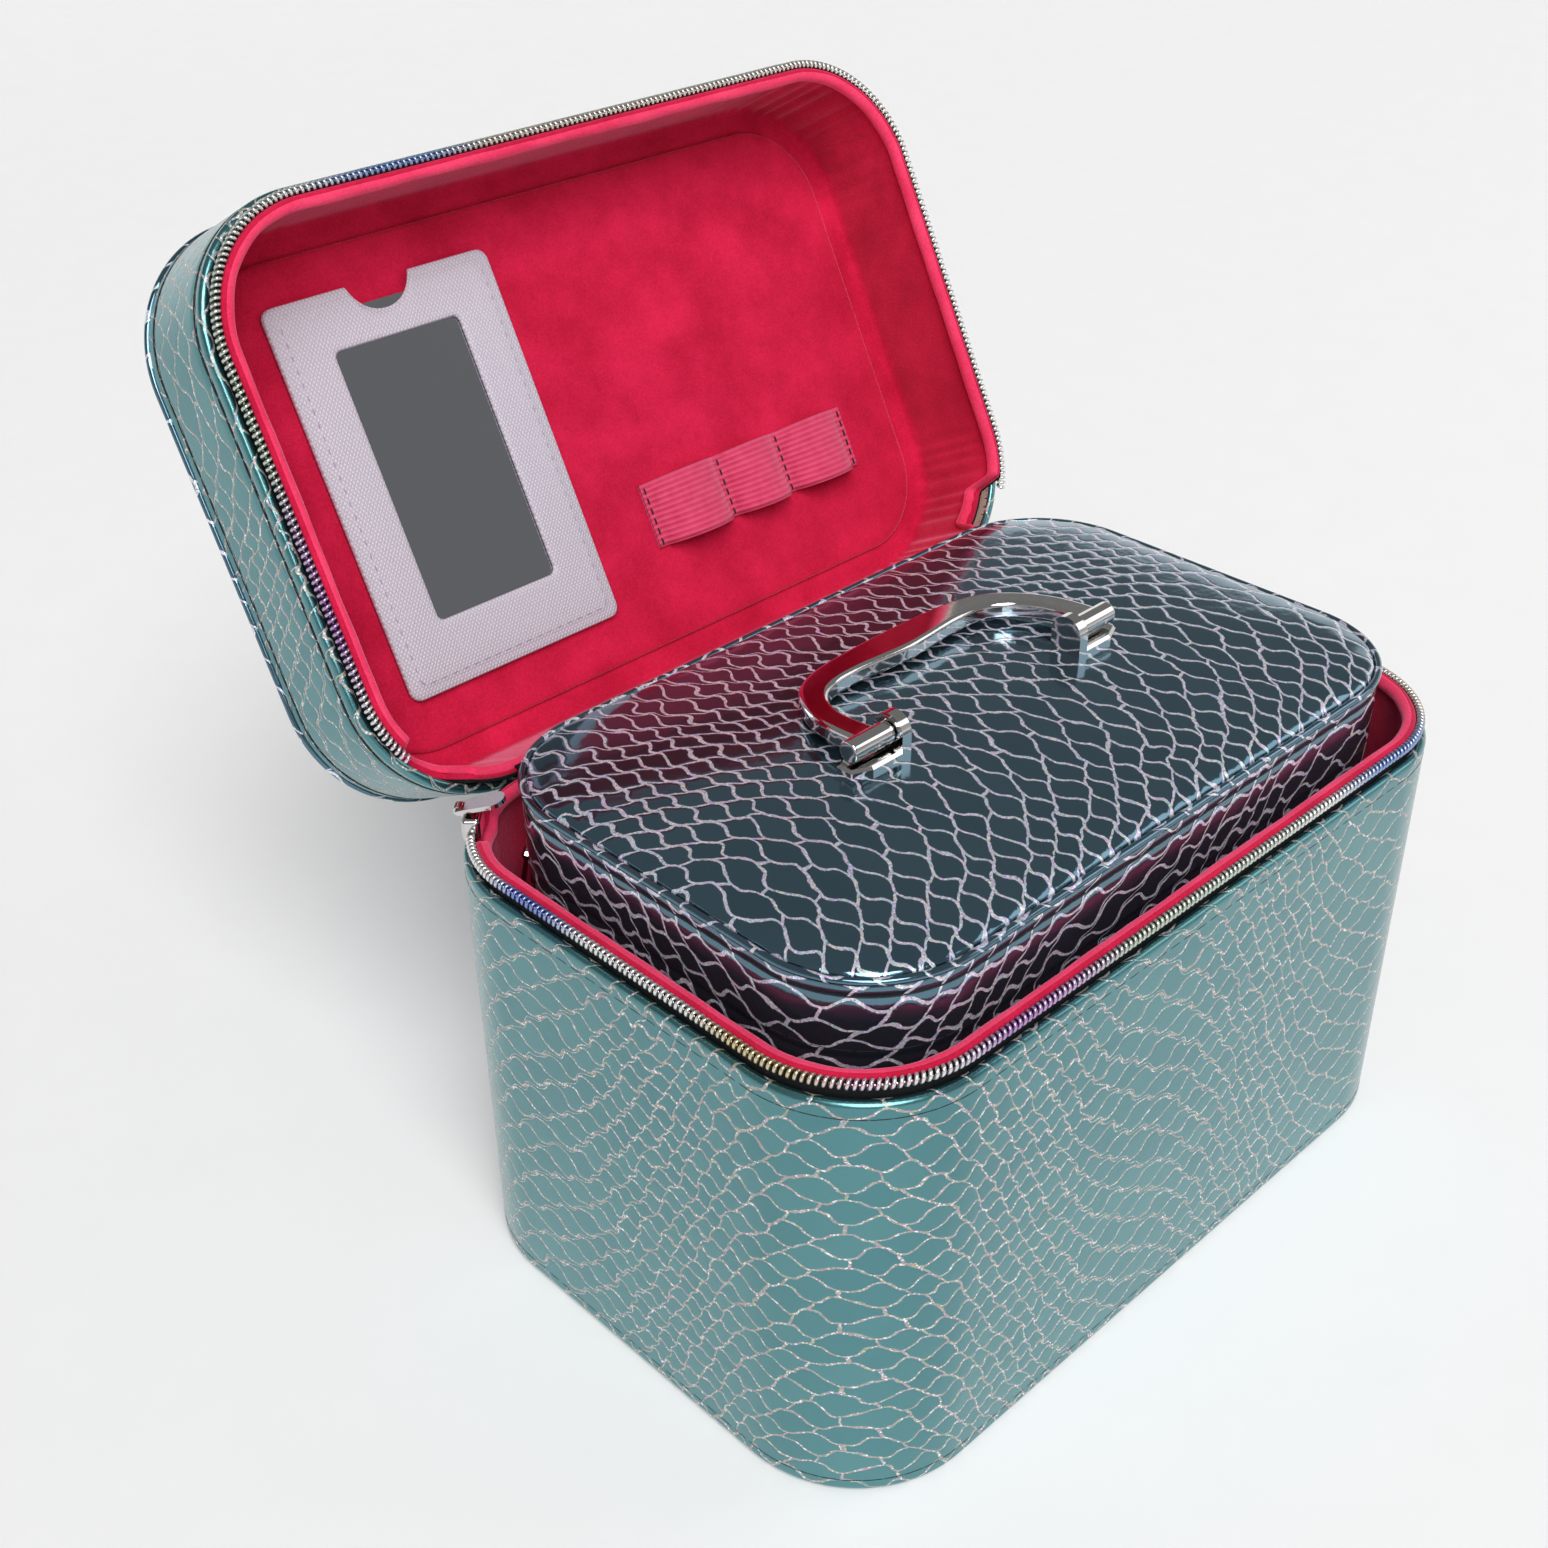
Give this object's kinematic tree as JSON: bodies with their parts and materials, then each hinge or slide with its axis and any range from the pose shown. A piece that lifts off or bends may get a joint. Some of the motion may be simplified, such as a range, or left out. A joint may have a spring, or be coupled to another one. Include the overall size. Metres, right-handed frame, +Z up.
{
  "type": "nested vanity case set",
  "caption": "Zip-round vanity case with a hinged mirror lid, standing open on its base, holding a smaller lidded vanity case with a folding bail handle.",
  "frame": {"origin": "middle of the outer base's underside", "axes": "+X along the hinge to the right of someone in front, -Y to the front, +Z up"},
  "size_m": [0.2294, 0.2499, 0.2522],
  "materials": {
    "snakeskin": "metallic snakeskin-print faux leather",
    "underside": "plain dark faux leather",
    "board": "grey board",
    "lining": "crimson velour",
    "tape": "black woven tape",
    "coil": "metallised nylon coil",
    "mirror": "silvered",
    "pocket": "white cross-hatch grain",
    "elastic": "ribbed elastic",
    "chrome": "polished chrome"
  },
  "bodies": {
    "base": {"base_cover": "snakeskin", "base_underside": "underside", "base_board": "board", "base_lining": "lining", "base_zip_tape": "tape", "base_zip_coil": "coil", "base_hinge_tape": "tape", "zip_slider_left": "chrome", "zip_slider_right": "chrome"},
    "lid": {"lid_cover": "snakeskin", "lid_piping": "snakeskin", "lid_pad": "snakeskin", "lid_board": "board", "lid_lining": "lining", "lid_panel": "lining", "lid_zip_tape": "tape", "lid_zip_coil": "coil", "lid_hinge_tape": "tape", "mirror_pocket": "pocket", "brush_loops": "elastic", "lid_handle_lugs": "chrome"},
    "mirror": {"mirror": "mirror"},
    "lid_handle": {"lid_handle": "chrome"},
    "zip_pull_left": {"zip_pull_left": "chrome"},
    "zip_pull_right": {"zip_pull_right": "chrome"},
    "inner_case": {"inner_base_cover": "snakeskin", "inner_base_underside": "underside", "inner_base_board": "board", "inner_base_lining": "lining", "inner_base_zip_tape": "tape", "inner_base_zip_coil": "coil", "inner_base_hinge_tape": "tape", "inner_zip_slider_left": "chrome", "inner_zip_slider_right": "chrome"},
    "inner_lid": {"inner_lid_cover": "snakeskin", "inner_lid_piping": "snakeskin", "inner_lid_pad": "snakeskin", "inner_lid_board": "board", "inner_lid_lining": "lining", "inner_lid_zip_tape": "tape", "inner_lid_zip_coil": "coil", "inner_lid_hinge_tape": "tape", "inner_handle_lugs": "chrome"},
    "inner_handle": {"inner_handle": "chrome"},
    "inner_zip_pull_left": {"inner_zip_pull_left": "chrome"},
    "inner_zip_pull_right": {"inner_zip_pull_right": "chrome"}
  },
  "joints": [
    {"name": "lid_hinge", "type": "hinge", "parent": "base", "child": "lid", "pos_m": [0, 0.0721, 0.1232], "axis": [-1, 0, 0], "range_deg": [-117.75, 0]},
    {"name": "mirror_slide", "type": "slide", "parent": "lid", "child": "mirror", "axis": [0, 0.4656, 0.885], "range_m": [0, 0.02]},
    {"name": "lid_handle_pivot", "type": "hinge", "parent": "lid", "child": "lid_handle", "pos_m": [0, 0.15119, 0.16871], "axis": [1, 0, 0], "range_deg": [-32, 155]},
    {"name": "zip_pull_left_pivot", "type": "hinge", "parent": "base", "child": "zip_pull_left", "pos_m": [-0.10436, 0.06536, 0.1269], "axis": [-0.7071, -0.7071, 0], "range_deg": [0, 245]},
    {"name": "zip_pull_right_pivot", "type": "hinge", "parent": "base", "child": "zip_pull_right", "pos_m": [0.10436, 0.06536, 0.1269], "axis": [-0.7071, 0.7071, 0], "range_deg": [0, 245]},
    {"name": "inner_case_lift", "type": "slide", "parent": "base", "child": "inner_case", "axis": [0, 0, 1], "range_m": [0, 0.13]},
    {"name": "inner_lid_hinge", "type": "hinge", "parent": "inner_case", "child": "inner_lid", "pos_m": [0, 0.0611, 0.1099], "axis": [-1, 0, 0], "range_deg": [0, 17]},
    {"name": "inner_handle_pivot", "type": "hinge", "parent": "inner_lid", "child": "inner_handle", "pos_m": [0, -0.005, 0.1477], "axis": [1, 0, 0], "range_deg": [0, 188]},
    {"name": "inner_zip_pull_left_pivot", "type": "hinge", "parent": "inner_case", "child": "inner_zip_pull_left", "pos_m": [-0.09313, 0.05553, 0.1136], "axis": [0.7071, 0.7071, 0], "range_deg": [0, 30]},
    {"name": "inner_zip_pull_right_pivot", "type": "hinge", "parent": "inner_case", "child": "inner_zip_pull_right", "pos_m": [0.09313, 0.05553, 0.1136], "axis": [0.7071, -0.7071, 0], "range_deg": [0, 30]}
  ]
}
